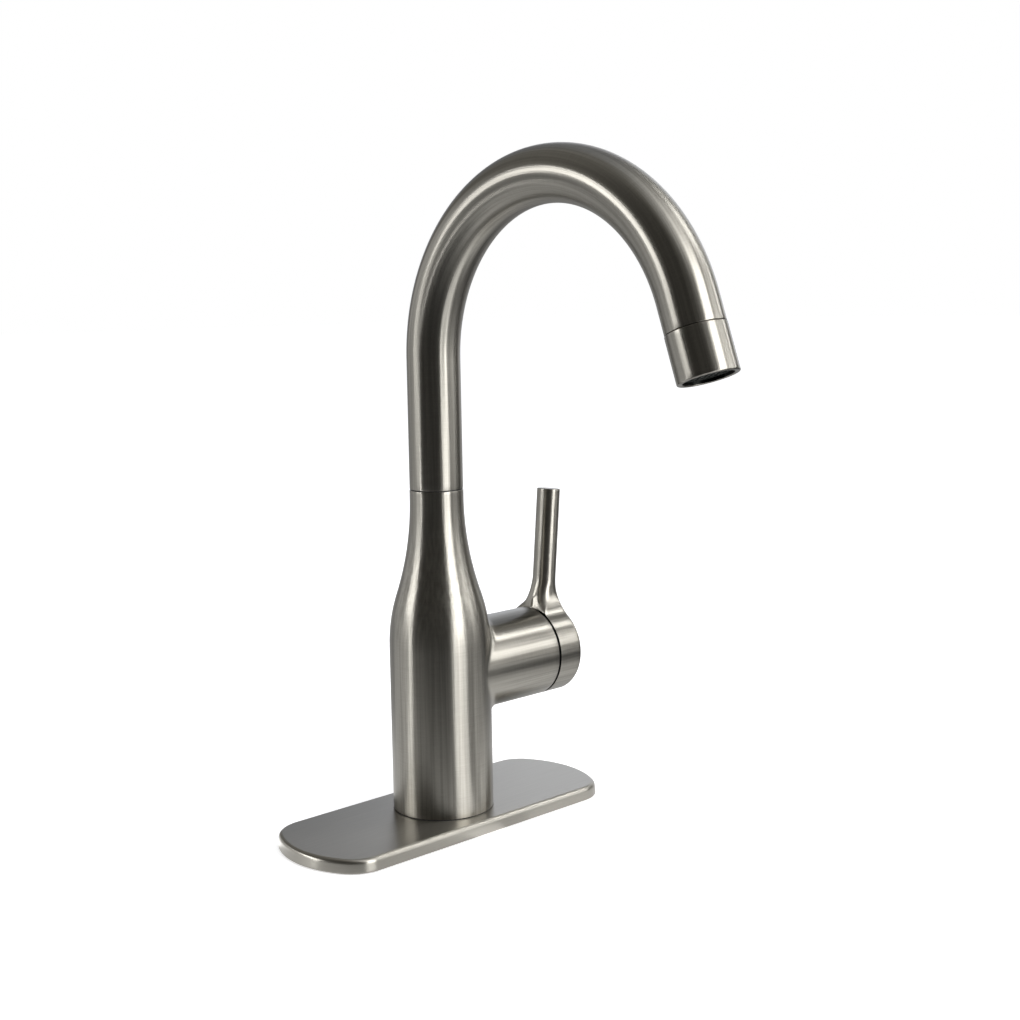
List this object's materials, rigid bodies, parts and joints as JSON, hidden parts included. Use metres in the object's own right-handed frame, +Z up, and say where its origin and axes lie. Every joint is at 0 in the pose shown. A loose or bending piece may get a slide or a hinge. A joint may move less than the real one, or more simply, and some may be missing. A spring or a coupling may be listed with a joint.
{
  "type": "gooseneck bar faucet",
  "caption": "Single-lever gooseneck bar faucet with a bottle-shaped body, side valve housing, swivelling spout, aerator and deck plate.",
  "frame": {"origin": "centre of the hose passage at the underside of the deck plate's gasket, where the faucet meets the deck", "axes": "+Z up along the body, +X along the valve axis towards the lever, -Y towards the spout's outlet"},
  "size_m": [0.179, 0.2194, 0.3267],
  "materials": {
    "brushed_nickel": "satin",
    "brass": "machined",
    "copper": "drawn",
    "steel": "ground",
    "black_rubber": "matt",
    "black_plastic": "satin",
    "grey_plastic": "moulded",
    "white_plastic": "moulded",
    "ceramic": "lapped"
  },
  "bodies": {
    "base": {"deck_gasket": "black_rubber", "deck_plate_base": "grey_plastic", "deck_plate": "brushed_nickel", "body_foot_ring": "black_rubber", "faucet_body": "brushed_nickel", "foot_block": "brass", "hot_inlet_tube": "copper", "cold_inlet_tube": "copper", "valve_manifold": "brass", "outlet_riser": "copper", "riser_seal": "black_rubber", "spout_bearing_sleeve": "white_plastic", "spout_washer": "black_plastic", "cartridge_seals": "black_rubber", "cartridge_base": "white_plastic", "fixed_disc": "ceramic", "cartridge_case": "white_plastic", "bonnet_nut": "brass", "bonnet_dome": "black_plastic", "trim_ring": "black_plastic"},
    "spout": {"spout_shank": "brass", "spout_o_rings": "black_rubber", "spout_retaining_ring": "steel", "spout_tube": "brushed_nickel", "spout_outlet_adapter": "brass", "aerator_washer": "black_rubber", "aerator_insert": "grey_plastic", "aerator_screen": "grey_plastic", "aerator_housing": "brushed_nickel"},
    "rotor": {"stem_carrier": "grey_plastic", "stem_pin": "steel"},
    "slider": {"moving_disc": "ceramic", "disc_driver": "white_plastic"},
    "lever": {"lever_stem": "steel", "lever_handle": "brushed_nickel", "handle_set_screw": "steel", "set_screw_plug": "brushed_nickel"}
  },
  "joints": [
    {"name": "spout_swivel", "type": "hinge", "parent": "base", "child": "spout", "pos_m": [0, 0, 0.1667], "axis": [0, 0, 1], "continuous": true},
    {"name": "lever_temperature", "type": "hinge", "parent": "base", "child": "rotor", "pos_m": [0.0459, 0, 0.075], "axis": [1, 0, 0], "range_deg": [-50, 50]},
    {"name": "lever_flow", "type": "hinge", "parent": "rotor", "child": "lever", "pos_m": [0.0459, 0, 0.075], "axis": [0, 1, 0], "range_deg": [0, 22]},
    {"name": "disc_slide", "type": "slide", "parent": "rotor", "child": "slider", "axis": [0, 0, 1], "range_m": [0, 0.0032]}
  ],
  "couplings": [
    {"joint": "disc_slide", "follows": "lever_flow", "m_per_rad": 0.008293}
  ]
}
